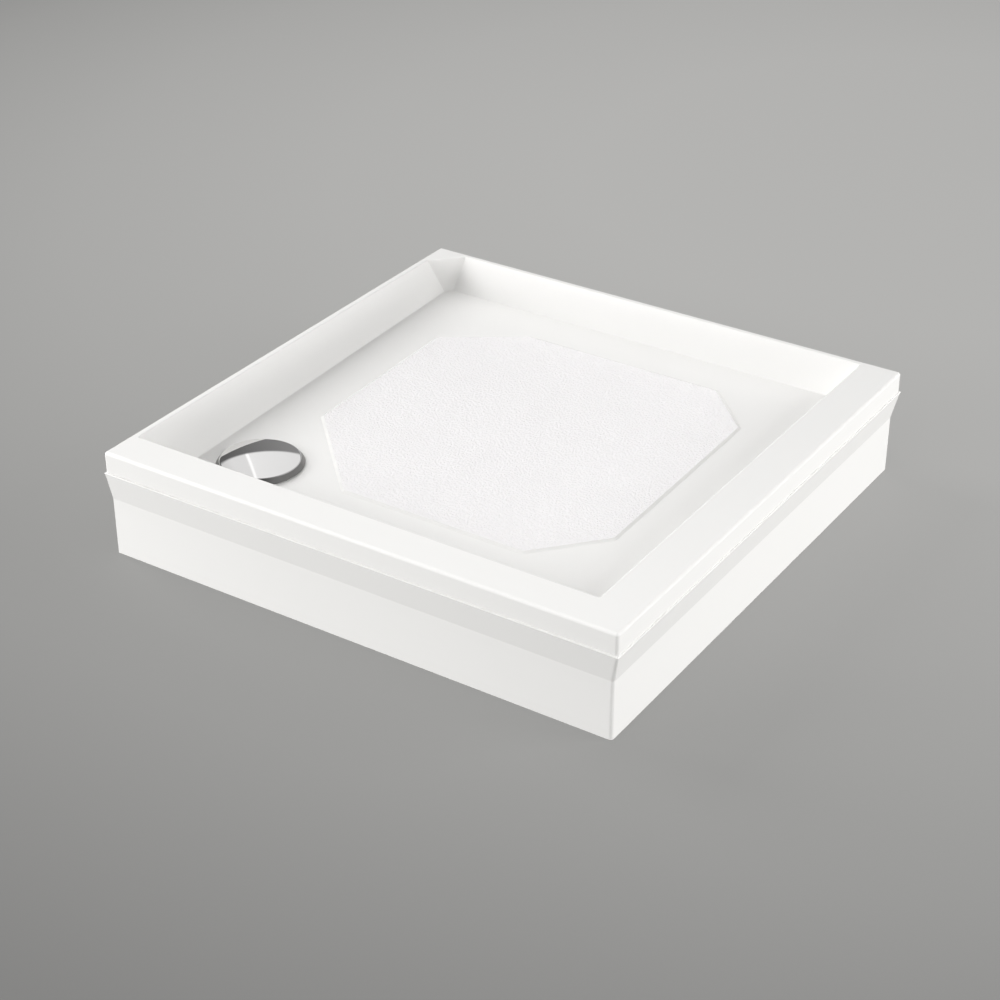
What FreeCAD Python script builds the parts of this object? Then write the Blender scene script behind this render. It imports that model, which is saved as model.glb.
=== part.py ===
import FreeCAD, Part
import math
import os

from FreeCAD import Placement, Rotation, Vector

# Square acrylic shower tray with its apron, underframe and drain trap.
#
# Origin: the middle of the tray on the bathroom floor.  +Z is up, +X runs to the
# right along the front apron and +Y runs towards the back wall.  Two sides stand
# against walls (left and back) and have a narrow rim; the other two (front and
# right) have a wide rim and a one-piece apron.  All lengths are in millimetres.

# ---------------------------------------------------------------- tray shell
tray_width = 800.0
tray_length = 800.0
tray_height = 165.0
sheet = 4.0
lip_height = 31.0
rim_front = 57.5
rim_right = 60.0
rim_left = 11.0
rim_back = 10.0
floor_depth_back = 49.0
floor_fall = 0.0157
wall_run_left = 0.594
wall_run_back = 0.594
wall_run_front = 0.25
wall_run_right = 0.25
corner_leg = 44.0
corner_run = 0.35
rim_edge_radius = 4.5
basin_edge_radius = 2.5
basin_radius = 2.0

# ------------------------------------------------------ raised standing area
mat_from_left = 119.5
mat_from_right = 154.5
mat_from_front = 167.5
mat_from_back = 109.5
mat_height = 2.2
mat_bevel = 4.0
mat_corner_radius = 14.0
mat_level_tolerance = 0.3
mat_cut_drain = (149.0, 152.0)
mat_cut_near = (85.0, 92.0)
mat_cut_right = (81.0, 81.5)
mat_cut_back = (118.5, 78.0)

# -------------------------------------------------- laminate, board, battens
laminate = 3.0
laminate_edge_below_rim = 20.0
board_thickness = 12.0
board_margin = 16.0
board_notch_clearance = 18.0
batten_width = 22.0
batten_height = 18.0
batten_from_face = 26.0
batten_from_end = 80.0

# ----------------------------------------------------------- rails and feet
rail_height = 25.0
rail_sheet = 2.0
rail_width = 32.0
rail_flange = 14.0
rail_from_right = 100.0
rail_from_front = 120.0
rail_from_back = 120.0
centre_rail_half = 130.0
rail_screw_spacing = 270.0
foot_from_right = 150.0
foot_from_drain = 109.5
foot_from_left = 110.0
foot_from_rail_end = 25.0
spindle_radius = 6.0
spindle_board_gap = 3.0
nut_across_flats = 19.0
rail_nut_height = 10.0
locknut_height = 6.0
spindle_hex_across_flats = 17.0
spindle_hex_height = 6.0
spindle_neck_radius = 3.8
spindle_neck_length = 9.0
ball_radius = 6.0
ball_height = 12.0
pad_radius = 22.0
pad_edge_height = 5.0
pad_hub_radius = 11.0
pad_hub_height = 19.0
pad_throat_radius = 4.8
running_gap = 0.05
wood_screw_radius = 2.0
wood_screw_head_radius = 4.0
wood_screw_head_height = 2.5
wood_screw_head_round = 1.5
rail_screw_depth = 8.0

# -------------------------------------------------------------------- apron
apron_sheet = 3.0
apron_top_gap = 0.3
apron_floor_gap = 1.0
apron_knee_below_rim = 77.2
apron_inset = 9.7
apron_corner_radius = 5.0
bead_radius = 1.4
bead_proud = 2.0
bead_corner_radius = 1.2
bead_tuck = 0.14
band_top_extra = 1.0
apron_top_flange = 27.7
apron_foot_flange = 29.5

# ---------------------------------------------------- clips, stays, brackets
clip_sheet = 2.0
clip_gap = 0.3
clip_mouth = 10.0
clip_width = 30.0
clip_spread = 250.0
clip_screw_depth = 10.0
stay_sheet = 2.0
stay_width = 24.0
stay_finger_start = 14.0
stay_rail_gap = 0.1
front_stay_x = (-120.0, 150.0)
stay_rail_overlap = 24.0
stay_screw_radius = 2.0
stay_screw_length = 9.0
bracket_sheet = 2.0
bracket_width = 70.0
bracket_bottom = 70.0
bracket_lip_gap = 0.2
bracket_below_lip = 4.0
bracket_hole_radius = 2.75
bracket_hole_spacing = 40.0
bracket_hole_height = 95.0
left_bracket_y = (-110.0, 200.0)
back_bracket_x = (-200.0, 200.0)

# -------------------------------------------------------------- drain and trap
drain_from_left = 130.5
drain_from_front = 168.0
drain_hole_radius = 45.0
recess_radius = 52.0
recess_depth = 4.6
lower_gasket = 3.0
upper_gasket = 1.5
gasket_edge_gap = 0.5
flange_plate = 2.5
flange_bore_radius = 33.5
flange_screw_circle = 39.0
flange_screw_radius = 2.5
flange_screw_head_radius = 4.6
flange_screw_length = 26.0
cover_base_radius = 62.0
cover_top_radius = 57.0
cover_wall_height = 7.0
cover_crown = 2.8
cover_sheet = 1.5
cover_floor_gap = 0.6
carrier_inner_radius = 30.5
carrier_outer_radius = 48.0
carrier_ring = 2.5
carrier_post_inner = 40.0
carrier_post_outer = 46.0
carrier_tongue_depth = 4.0
carrier_tongue_outer = 33.2
carrier_post_spread = 34.0
carrier_tongue_spread = 26.0
seat_gap = 0.1
trap_flange_radius = 58.0
trap_plate = 5.0
trap_radius = 54.0
trap_wall = 3.0
trap_depth = 78.1
trap_ledge_radius = 30.0
trap_ledge = 2.0
trap_boss_radius = 4.5
dip_radius = 26.0
dip_wall = 2.0
dip_tube_depth = 60.1
dip_shoulder_radius = 33.0
dip_shoulder_height = 8.5
dip_bar_width = 8.0
dip_bar_height = 4.0
oring_radius = 1.3
oring_from_ledge = 5.2

# ------------------------------------------------------------- trap's outlet
outlet_below_seat = 47.1
outlet_reach = 74.0
outlet_ball_radius = 29.0
outlet_pipe_radius = 25.0
outlet_pipe_wall = 3.0
outlet_end_gap = 5.0
outlet_socket_radius = 34.0
outlet_seal = 2.0
outlet_nut_radius = 39.0
outlet_nut_back = 12.0
outlet_nut_front = 10.0
outlet_nut_ribs = 12
outlet_nut_rib_radius = 1.6

# ------------------------------------------------------------- derived values
half_width = tray_width / 2
half_length = tray_length / 2
lip_bottom = tray_height - lip_height
rim_underside = tray_height - sheet
back_base_y = half_length - rim_back - wall_run_back * floor_depth_back
fall_angle = math.degrees(math.atan(floor_fall))
mat_left = -half_width + mat_from_left
mat_right = half_width - mat_from_right
mat_front = -half_length + mat_from_front
mat_back = half_length - mat_from_back
drain_x = -half_width + drain_from_left
drain_y = -half_length + drain_from_front
rail_end = half_width - rail_from_right
front_rail_y = -half_length + rail_from_front
back_rail_y = half_length - rail_from_back
foot_right_x = half_width - foot_from_right
feet = {
    "front_left": (drain_x + foot_from_drain, front_rail_y),
    "front_right": (foot_right_x, front_rail_y),
    "back_left": (-half_width + foot_from_left, back_rail_y),
    "back_right": (foot_right_x, back_rail_y),
    "centre": (0.0, 0.0),
}


def floor_height(y):
    """Height of the basin floor at a place along Y."""
    return tray_height - floor_depth_back - floor_fall * (back_base_y - y)


drain_seat = floor_height(drain_y) - recess_depth
trap_bottom = drain_seat - trap_depth
dip_bottom = drain_seat - dip_tube_depth
outlet_height = drain_seat - outlet_below_seat

# --------------------------------------------------------------- small makers
def box(x0, x1, y0, y1, z0, z1):
    return Part.makeBox(x1 - x0, y1 - y0, z1 - z0, Vector(x0, y0, z0))


def rod(radius, z0, z1, x=0.0, y=0.0):
    return Part.makeCylinder(radius, z1 - z0, Vector(x, y, z0))


def ring(outer, inner, z0, z1, x=0.0, y=0.0):
    return rod(outer, z0, z1, x, y).cut(rod(inner, z0 - 1, z1 + 1, x, y))


def rod_along_x(radius, x0, x1, y, z):
    return Part.makeCylinder(radius, x1 - x0, Vector(x0, y, z), Vector(1, 0, 0))


def sector(outer, inner, z0, z1, middle_angle, spread):
    """A piece of a ring round the Z axis, spread degrees wide."""
    wedge = Part.makeCylinder(outer, z1 - z0, Vector(0, 0, z0), Vector(0, 0, 1), spread)
    wedge.rotate(Vector(), Vector(0, 0, 1), middle_angle - spread / 2)
    return wedge.cut(rod(inner, z0 - 1, z1 + 1))


def hexagon(across_flats, z0, z1, x=0.0, y=0.0):
    corner = across_flats / math.sqrt(3)
    points = [
        Vector(x + corner * math.cos(k * math.pi / 3), y + corner * math.sin(k * math.pi / 3), z0)
        for k in range(6)
    ]
    return prism(points, Vector(0, 0, z1 - z0))


def prism(points, travel):
    outline = Part.makePolygon(points + [points[0]])
    return Part.Face(outline).extrude(travel)


def turned(edges, x=0.0, y=0.0):
    """A solid of revolution from edges drawn in the XZ plane about Z."""
    face = Part.Face(Part.Wire(edges))
    solid = face.revolve(Vector(), Vector(0, 0, 1), 360)
    solid.translate(Vector(x, y, 0))
    return solid


def joined(shapes):
    return shapes[0].fuse(shapes[1:]).removeSplitter()


def at_drain(shape):
    moved = shape.copy()
    moved.translate(Vector(drain_x, drain_y, 0))
    return moved


def under_floor(shape):
    """Lay a shape drawn with the basin floor at z = 0 along the sloping floor."""
    tilt = Placement(Vector(0, 0, floor_height(0.0)), Rotation(Vector(1, 0, 0), fall_angle))
    laid = shape.copy()
    laid.Placement = tilt.multiply(laid.Placement)
    return laid


def side_point(side, along, inward, z):
    """A point by its distance inward from the tray's outer face on one side."""
    if side == "front":
        return Vector(along, -half_length + inward, z)
    if side == "back":
        return Vector(along, half_length - inward, z)
    if side == "left":
        return Vector(-half_width + inward, along, z)
    return Vector(half_width - inward, along, z)


def side_strip(side, middle, width, outline):
    """A strip of one cross-section (inward, z), width long along a side."""
    start = middle - width / 2
    points = [side_point(side, start, inward, z) for inward, z in outline]
    travel = side_point(side, start + width, 0, 0) - side_point(side, start, 0, 0)
    return prism(points, travel)


def save(node, *shapes):
    solids = [solid for shape in shapes for solid in shape.Solids]
    result = solids[0] if len(solids) == 1 else Part.makeCompound(solids)
    result.exportStep("parts/" + node + ".step")


# ------------------------------------------------------------------ tray shell
def beyond_plane(plane):
    """A block that fills the space past a plane, given as (normal, distance)."""
    normal, distance = plane
    size = 3 * max(tray_width, tray_length)
    block = Part.makeBox(size, size, size, Vector(-size / 2, -size / 2, 0))
    block.Placement = Placement(normal * distance, Rotation(Vector(0, 0, 1), normal))
    return block


def wall_plane(normal_x, normal_y, run, point, grow):
    """A basin wall leaning inward by run per unit of depth, moved out by grow."""
    normal = Vector(normal_x, normal_y, -run)
    normal.normalize()
    return normal, normal.dot(point) + grow


def basin(grow, top):
    """The basin's hollow with every face moved outward by grow."""
    left = -half_width + rim_left
    right = half_width - rim_right
    front = -half_length + rim_front
    back = half_length - rim_back
    rim = tray_height
    walls = [
        wall_plane(0, -1, wall_run_front, Vector(0, front, rim), grow),
        wall_plane(1, 0, wall_run_right, Vector(right, 0, rim), grow),
        wall_plane(0, 1, wall_run_back, Vector(0, back, rim), grow),
        wall_plane(
            -math.sqrt(0.5), math.sqrt(0.5), corner_run, Vector(left + corner_leg, back, rim), grow
        ),
        wall_plane(-1, 0, wall_run_left, Vector(left, 0, rim), grow),
    ]
    down = Vector(0, floor_fall, -1)
    down.normalize()
    bottom = down, down.dot(Vector(0, 0, floor_height(0.0))) + grow
    solid = rim_block(0, 0, top)
    for plane in walls + [bottom]:
        solid = solid.cut(beyond_plane(plane))
    below_top = [edge for edge in solid.Edges if edge.BoundBox.ZMin < top - 1]
    return solid.makeFillet(basin_radius + grow, below_top)


def rim_block(inset, bottom, top):
    return box(
        -half_width + inset, half_width - inset, -half_length + inset, half_length - inset, bottom, top
    )


def rounded_rim():
    block = rim_block(0, lip_bottom, tray_height)
    edges = [
        edge for edge in block.Edges
        if not all(abs(vertex.Point.z - lip_bottom) < 0.01 for vertex in edge.Vertexes)
    ]
    return block.makeFillet(rim_edge_radius, edges)


def mat_outline(grow, height):
    """The standing area's octagon, grow wider all round, height above the floor."""
    left, right = mat_left - grow, mat_right + grow
    front, back = mat_front - grow, mat_back + grow
    trim = grow * math.tan(math.radians(22.5)) * math.sqrt(2) - grow
    corners = [
        (left, front + mat_cut_drain[1] - trim), (left + mat_cut_drain[0] - trim, front),
        (right - mat_cut_near[0] + trim, front), (right, front + mat_cut_near[1] - trim),
        (right, back - mat_cut_right[1] + trim), (right - mat_cut_right[0] + trim, back),
        (left + mat_cut_back[0] - trim, back), (left, back - mat_cut_back[1] + trim),
    ]
    points = [Vector(x, y, floor_height(y) + height) for x, y in corners]
    return Part.makePolygon(points + [points[0]])


def standing_area():
    """A raised octagon with a bevelled edge, sunk a sheet's half into the floor."""
    root = sheet / 2
    slope = mat_bevel / mat_height
    raised = Part.makeLoft([mat_outline(slope * root, -root), mat_outline(-mat_bevel, mat_height)],
                           True, True)
    sides = []
    for edge in raised.Edges:
        gap = abs(edge.Vertexes[0].Point.z - edge.Vertexes[1].Point.z)
        if abs(gap - root - mat_height) < mat_level_tolerance and edge.Length < 4 * (root + mat_height):
            sides.append(edge)
    return raised.makeFillet(mat_corner_radius, sides)


def tray_shell():
    outside = basin(sheet, tray_height - sheet / 2)
    channel = rim_block(sheet, lip_bottom - 1, rim_underside).cut(outside)
    shell = rounded_rim().cut(channel).fuse(outside)
    pan = rod(recess_radius + sheet, drain_seat - sheet, floor_height(drain_y), drain_x, drain_y)
    shell = shell.fuse(pan).cut(basin(0, tray_height + 10))
    shell = shell.fuse(standing_area()).removeSplitter()
    inner_edge = []
    for edge in shell.Edges:
        low, high = edge.BoundBox, rim_edge_radius + 1
        inside = abs(low.XMin) < half_width - high and abs(low.YMin) < half_length - high
        inside = inside and abs(low.XMax) < half_width - high and abs(low.YMax) < half_length - high
        if inside and low.ZMin > tray_height - 0.01:
            inner_edge.append(edge)
    shell = shell.makeFillet(basin_edge_radius, inner_edge)
    recess = rod(recess_radius, drain_seat, tray_height, drain_x, drain_y)
    hole = rod(drain_hole_radius, 0, tray_height, drain_x, drain_y)
    return shell.cut(recess).cut(hole)


def laminate_backing():
    outside = basin(sheet + laminate, tray_height - laminate_edge_below_rim)
    inside = basin(sheet, tray_height - sheet / 2)
    opening = rod(recess_radius + sheet + laminate, 0, tray_height, drain_x, drain_y)
    return outside.cut(inside).cut(opening)


# ---------------------------------------------------- board, rails and battens
board_top = -sheet - laminate
board_bottom = board_top - board_thickness
rail_bottom = board_bottom - rail_height


def rail_list():
    """Each rail's name with its two ends along X and its place along Y."""
    left_end = feet["front_left"][0] - foot_from_rail_end
    back_end = feet["back_left"][0] - foot_from_rail_end
    return {
        "front_rail": (left_end, rail_end, front_rail_y),
        "back_rail": (back_end, rail_end, back_rail_y),
        "centre_rail": (-centre_rail_half, centre_rail_half, 0.0),
    }


def screw_places(x0, x1, y):
    """Where a rail's wood screws stand: pairs at about the screw spacing."""
    row = rail_width / 2 + rail_flange / 2
    first, run = x0 + rail_flange, x1 - x0 - 2 * rail_flange
    steps = round(run / rail_screw_spacing)
    columns = [first + run * k / steps for k in range(steps + 1)]
    return [(x, y + sign * row) for x in columns for sign in (-1, 1)]


def base_board():
    front_depth = tray_height - floor_height(-half_length + rim_front)
    left = -half_width + rim_left + wall_run_left * front_depth + board_margin
    right = half_width - rim_right - wall_run_right * floor_depth_back - board_margin
    front = -half_length + rim_front + wall_run_front * front_depth + board_margin
    back = back_base_y - board_margin
    board = box(left, right, front, back, board_bottom, board_top)
    reach = trap_flange_radius + board_notch_clearance
    notch = box(left - 1, drain_x + reach, front - 1, drain_y + reach, board_bottom - 1, board_top + 1)
    inner_corner = [
        edge for edge in notch.Edges
        if edge.BoundBox.XMin > drain_x + reach - 1 and edge.BoundBox.YMin > drain_y + reach - 1
    ]
    board = board.cut(notch.makeFillet(board_notch_clearance, inner_corner))
    for x0, x1, y in rail_list().values():
        for x, place_y in screw_places(x0, x1, y):
            board = board.cut(
                rod(wood_screw_radius + running_gap, board_bottom - 1,
                    board_bottom + rail_screw_depth + running_gap, x, place_y)
            )
    return under_floor(board)


def rail(x0, x1, y):
    """A folded steel hat section, open side up, with its screw and foot holes."""
    web = rail_width / 2
    wing = web + rail_flange
    inside = web - rail_sheet
    top, low = board_bottom, rail_bottom
    outline = [
        (-wing, top), (-inside, top), (-inside, low + rail_sheet), (inside, low + rail_sheet),
        (inside, top), (wing, top), (wing, top - rail_sheet), (web, top - rail_sheet),
        (web, low), (-web, low), (-web, top - rail_sheet), (-wing, top - rail_sheet),
    ]
    solid = prism([Vector(x0, y + across, z) for across, z in outline], Vector(x1 - x0, 0, 0))
    for x, place_y in screw_places(x0, x1, y):
        solid = solid.cut(rod(wood_screw_radius + running_gap, low, top + 1, x, place_y))
    for x, foot_y in feet.values():
        if foot_y == y:
            solid = solid.cut(rod(spindle_radius + running_gap, low - 1, low + rail_height / 2, x, y))
    for side, along, rail_y in stay_list():
        if rail_y == y:
            x, place_y = stay_screw_place(side, along, rail_y)
            solid = solid.cut(rod(stay_screw_radius + running_gap, low - 1, low + rail_height / 2,
                                  x, place_y))
    return solid


def wood_screw(x, y, seat, depth):
    """A pan-head screw whose head bears on seat from below."""
    head = rod(wood_screw_head_radius, seat - wood_screw_head_height, seat, x, y)
    lower_rim = [edge for edge in head.Edges if edge.BoundBox.ZMax < seat - wood_screw_head_height + 0.01]
    head = head.makeFillet(wood_screw_head_round, lower_rim)
    return joined([head, rod(wood_screw_radius, seat, seat + depth, x, y)])


def rail_screws():
    seat = board_bottom - rail_sheet
    screws = []
    for x0, x1, y in rail_list().values():
        for x, place_y in screw_places(x0, x1, y):
            screws.append(under_floor(wood_screw(x, place_y, seat, rail_sheet + rail_screw_depth)))
    return screws


def threaded_nut(x, y, z0, z1):
    bore = rod(spindle_radius + running_gap, z0 - 1, z1 + 1, x, y)
    return hexagon(nut_across_flats, z0, z1, x, y).cut(bore)


def rail_nuts():
    low = rail_bottom + rail_sheet
    return [under_floor(threaded_nut(x, y, low, low + rail_nut_height)) for x, y in feet.values()]


def locknuts():
    low = rail_bottom - locknut_height
    return [under_floor(threaded_nut(x, y, low, rail_bottom)) for x, y in feet.values()]


def ball_centre(y):
    """The centre of a foot's ball, in the sloping frame and on the floor."""
    angle = math.radians(fall_angle)
    depth = (ball_height - floor_height(0.0) - y * math.sin(angle)) / math.cos(angle)
    return depth, y * math.cos(angle) - depth * math.sin(angle)


def foot_spindle(x, y):
    """Ball end, neck, hexagon for the spanner and threaded rod in one piece."""
    start = ball_centre(y)[0]
    hexagon_start = start + spindle_neck_length
    thread_start = hexagon_start + spindle_hex_height
    pieces = [
        Part.makeSphere(ball_radius, Vector(x, y, start)),
        rod(spindle_neck_radius, start, hexagon_start, x, y),
        hexagon(spindle_hex_across_flats, hexagon_start, thread_start, x, y),
        rod(spindle_radius, thread_start, board_bottom - spindle_board_gap, x, y),
    ]
    return under_floor(joined(pieces))


def foot_pad(x, y):
    """A moulded pad with a cup that holds the spindle's ball."""
    centre_y = ball_centre(y)[1]
    outline = [
        Vector(0, 0, 0), Vector(pad_radius, 0, 0), Vector(pad_radius, 0, pad_edge_height),
        Vector(pad_hub_radius, 0, pad_hub_height - pad_edge_height),
        Vector(pad_hub_radius, 0, pad_hub_height), Vector(0, 0, pad_hub_height), Vector(0, 0, 0),
    ]
    pad = turned(Part.makePolygon(outline).Edges)
    pad = pad.cut(Part.makeSphere(ball_radius + running_gap, Vector(0, 0, ball_height)))
    pad = pad.cut(rod(pad_throat_radius, ball_height, pad_hub_height + 1))
    pad.translate(Vector(x, centre_y, 0))
    return pad


def rim_batten(side):
    far = batten_from_face + batten_width
    low = rim_underside - batten_height
    outline = [(batten_from_face, low), (far, low), (far, rim_underside), (batten_from_face, rim_underside)]
    run = tray_width if side == "front" else tray_length
    batten = side_strip(side, 0, run - 2 * batten_from_end, outline)
    for along in clip_places():
        place = side_point(side, along, clip_screw_inward(), 0)
        batten = batten.cut(
            rod(wood_screw_radius + running_gap, low - 1, low + clip_screw_depth + running_gap,
                place.x, place.y)
        )
    return batten


# -------------------------------------------------------- apron and its fixings
apron_top = lip_bottom - apron_top_gap
apron_knee = tray_height - apron_knee_below_rim
clip_back = apron_top_flange + clip_gap


def apron_profile(along, side):
    """Cross-section of the folded apron: top flange, bead, band, face and foot."""
    bead_z = apron_top - bead_radius
    bead_inward = bead_radius - bead_proud
    low = apron_floor_gap
    thick = apron_sheet
    under_bead = (bead_inward - bead_tuck, bead_z - bead_radius)
    corners = [
        under_bead, (apron_inset, apron_knee), (apron_inset, low), (apron_foot_flange, low),
        (apron_foot_flange, low + thick), (apron_inset + thick, low + thick),
        (apron_inset + thick, apron_knee), (under_bead[0] + thick + band_top_extra, apron_top - thick),
        (apron_top_flange, apron_top - thick), (apron_top_flange, apron_top), (bead_inward, apron_top),
    ]
    points = [side_point(side, along, inward, z) for inward, z in corners]
    nose = side_point(side, along, bead_inward - bead_radius, bead_z)
    edges = Part.makePolygon(points).Edges
    edges.append(Part.Arc(points[-1], nose, points[0]).toShape())
    return Part.Face(Part.Wire(edges))


def apron_panel():
    """One folded panel round the front and right sides, mitred at the corner."""
    overrun = 3 * bead_proud
    front = apron_profile(-half_width, "front").extrude(Vector(tray_width + overrun, 0, 0))
    right = apron_profile(half_length, "right").extrude(Vector(0, -tray_length - overrun, 0))
    big = tray_width + tray_length
    corner = Vector(half_width, -half_length, -1)
    mitre = [corner + Vector(-big, big, 0), corner + Vector(big, -big, 0), corner + Vector(big, big, 0)]
    beyond = prism(mitre, Vector(0, 0, big))
    panel = joined([front.cut(beyond), right.common(beyond)])
    panel = round_mitre_edge(panel, apron_floor_gap, apron_knee, apron_corner_radius)
    return round_mitre_edge(panel, apron_top - 2 * bead_radius, apron_top, bead_corner_radius)


def round_mitre_edge(panel, low, high, radius):
    """Round the outer corner edge that runs between two heights on the mitre."""
    chosen = []
    for edge in panel.Edges:
        ends = [vertex.Point for vertex in edge.Vertexes]
        on_mitre = all(abs(point.x - half_width + point.y + half_length) < 0.01 for point in ends)
        outside = all(half_width - point.x < apron_inset + 0.01 for point in ends)
        inside = edge.BoundBox.ZMin > low - 0.01 and edge.BoundBox.ZMax < high + 0.01
        if on_mitre and outside and inside:
            chosen.append(edge)
    return panel.makeFillet(radius, chosen)


def clip_places():
    return (-clip_spread, 0.0, clip_spread)


def clip_screw_inward():
    return clip_back + clip_sheet + wood_screw_head_radius + clip_gap


def apron_clip(side, along):
    """A spring-steel fork screwed under the rim's batten; the apron slides in."""
    low = apron_top - apron_sheet - clip_gap
    high = apron_top + clip_gap
    top = rim_underside - batten_height
    far = clip_screw_inward() + wood_screw_head_radius
    mouth, back, thick = clip_mouth, clip_back, clip_sheet
    outline = [
        (mouth, low - thick), (back + thick, low - thick), (back + thick, top - thick),
        (far, top - thick), (far, top), (back, top), (back, high + thick), (mouth, high + thick),
        (mouth, high), (back, high), (back, low), (mouth, low),
    ]
    clip = side_strip(side, along, clip_width, outline)
    place = side_point(side, along, clip_screw_inward(), 0)
    return clip.cut(rod(wood_screw_radius + running_gap, top - 2 * thick, top + 1, place.x, place.y))


def clip_screws():
    seat = rim_underside - batten_height - clip_sheet
    screws = []
    for side in ("front", "right"):
        for along in clip_places():
            place = side_point(side, along, clip_screw_inward(), 0)
            screws.append(wood_screw(place.x, place.y, seat, clip_sheet + clip_screw_depth))
    return screws


def stay_list():
    """Each stay's side, its place along that side and the rail it hangs from."""
    front = [("front", x, front_rail_y) for x in front_stay_x]
    return front + [("right", front_rail_y, front_rail_y), ("right", back_rail_y, back_rail_y)]


def stay_screw_inward(side):
    if side == "front":
        return front_rail_y + half_length
    return half_width - rail_end + stay_rail_overlap / 2


def stay_screw_place(side, along, rail_y):
    if side == "front":
        return along, rail_y
    return rail_end - stay_rail_overlap / 2, rail_y


def stay_top(rail_y):
    """Level just below the lowest edge of a rail's sloping underside."""
    angle = math.radians(fall_angle)
    near_edge = rail_y - rail_width / 2
    height = floor_height(0.0) + near_edge * math.sin(angle) + rail_bottom * math.cos(angle)
    return height - stay_rail_gap


def apron_stay(side, along, rail_y):
    """A steel strap from a rail down to a finger over the apron's foot flange."""
    high = stay_top(rail_y)
    low = apron_floor_gap + apron_sheet + clip_gap
    far = stay_screw_inward(side) + stay_rail_overlap / 2
    leg, thick = apron_foot_flange, stay_sheet
    outline = [
        (stay_finger_start, low), (leg + thick, low), (leg + thick, high - thick),
        (far, high - thick), (far, high), (leg, high), (leg, low + thick),
        (stay_finger_start, low + thick),
    ]
    stay = side_strip(side, along, stay_width, outline)
    x, y = stay_screw_place(side, along, rail_y)
    return stay.cut(rod(stay_screw_radius + 2 * running_gap, high - 2 * thick, high + 1, x, y))


def stay_screw(side, along, rail_y):
    seat = stay_top(rail_y) - stay_sheet
    x, y = stay_screw_place(side, along, rail_y)
    return wood_screw(x, y, seat, stay_screw_length - wood_screw_head_height)


def wall_bracket(side, along):
    """A cranked steel plate: flat on the wall below, behind the rim's lip above."""
    step = lip_bottom - bracket_below_lip
    thick = bracket_sheet
    inner = sheet + bracket_lip_gap
    top = rim_underside - bracket_lip_gap
    outline = [
        (0, bracket_bottom), (thick, bracket_bottom), (thick, step - thick), (inner + thick, step - thick),
        (inner + thick, top), (inner, top), (inner, step), (0, step),
    ]
    bracket = side_strip(side, along, bracket_width, outline)
    for sign in (-1, 1):
        place = along + sign * bracket_hole_spacing / 2
        start = side_point(side, place, -1, bracket_hole_height)
        inward = side_point(side, place, 1, 0) - side_point(side, place, 0, 0)
        bracket = bracket.cut(Part.makeCylinder(bracket_hole_radius, 2 * thick + 2, start, inward))
    return bracket


# --------------------------------------------------------------- drain and trap
flange_low = drain_seat + upper_gasket
flange_top = flange_low + flange_plate
trap_top = drain_seat - sheet - lower_gasket
neck_radius = drain_hole_radius - gasket_edge_gap
ledge_top = trap_top - trap_plate + trap_ledge
cover_low = floor_height(drain_y + cover_base_radius) + cover_floor_gap
cover_shoulder = cover_low + cover_wall_height
dip_low_shoulder = ledge_top + seat_gap
screw_angles = (60, 180, 300)
post_angles = (0, 120, 240)


def round_the_drain(maker, angles):
    """Copies of a shape made at the screw circle, one at each angle."""
    copies = []
    for angle in angles:
        shape = maker()
        shape.rotate(Vector(), Vector(0, 0, 1), angle)
        copies.append(shape)
    return copies


def screw_hole():
    bottom = flange_top - flange_screw_length - 1
    return rod(flange_screw_radius + running_gap, bottom, flange_top + 1, flange_screw_circle)


def countersink(slack):
    """The cone of a flange screw's head, slack wider all round."""
    drop = flange_screw_head_radius - flange_screw_radius
    cone = Part.makeCone(
        flange_screw_radius + slack, flange_screw_head_radius + slack, drop,
        Vector(flange_screw_circle, 0, flange_top - drop),
    )
    return cone


def flange_screw():
    shank = rod(flange_screw_radius, flange_top - flange_screw_length, flange_top, flange_screw_circle)
    return joined([shank, countersink(0)])


def waste_flange():
    plate = ring(recess_radius - gasket_edge_gap, flange_bore_radius, flange_low, flange_top)
    neck = ring(neck_radius, flange_bore_radius, trap_top, flange_low)
    flange = joined([plate, neck])
    for hole in round_the_drain(screw_hole, screw_angles):
        flange = flange.cut(hole)
    for sink in round_the_drain(lambda: countersink(running_gap), screw_angles):
        flange = flange.cut(sink)
    return at_drain(flange)


def outlet_bore(radius):
    """A straight passage from the trap's chamber out along the outlet."""
    return rod_along_x(radius, -outlet_reach - outlet_ball_radius, -trap_radius / 2, 0, outlet_height)


def outlet_ball(radius):
    return Part.makeSphere(radius, Vector(-outlet_reach, 0, outlet_height), Vector(1, 0, 0))


def outlet_socket():
    """The threaded stub on the trap's side that the ball seats in."""
    socket = rod_along_x(outlet_socket_radius, -outlet_reach, -trap_radius / 2, 0, outlet_height)
    socket = socket.cut(rod(trap_radius - trap_wall / 2, trap_bottom, trap_top))
    socket = socket.cut(outlet_bore(outlet_pipe_radius - outlet_pipe_wall + seat_gap))
    return socket.cut(outlet_ball(outlet_ball_radius + running_gap))


def trap_body():
    low_plate = trap_top - trap_plate
    body = rod(trap_radius, trap_bottom, low_plate).fuse(rod(trap_flange_radius, low_plate, trap_top))
    chamber = rod(trap_radius - trap_wall, trap_bottom + trap_wall, low_plate)
    boss_bottom = flange_top - flange_screw_length - trap_wall
    bosses = round_the_drain(
        lambda: rod(trap_boss_radius, boss_bottom, low_plate, flange_screw_circle), screw_angles)
    for boss in bosses:
        chamber = chamber.cut(boss)
    body = body.cut(chamber)
    body = body.cut(rod(trap_ledge_radius, low_plate - 1, trap_top))
    body = body.cut(rod(flange_bore_radius - seat_gap, ledge_top, trap_top + 1))
    body = body.cut(outlet_bore(outlet_pipe_radius - outlet_pipe_wall + seat_gap))
    for hole in round_the_drain(screw_hole, screw_angles):
        body = body.cut(hole)
    return at_drain(joined([body, outlet_socket()]))


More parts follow.
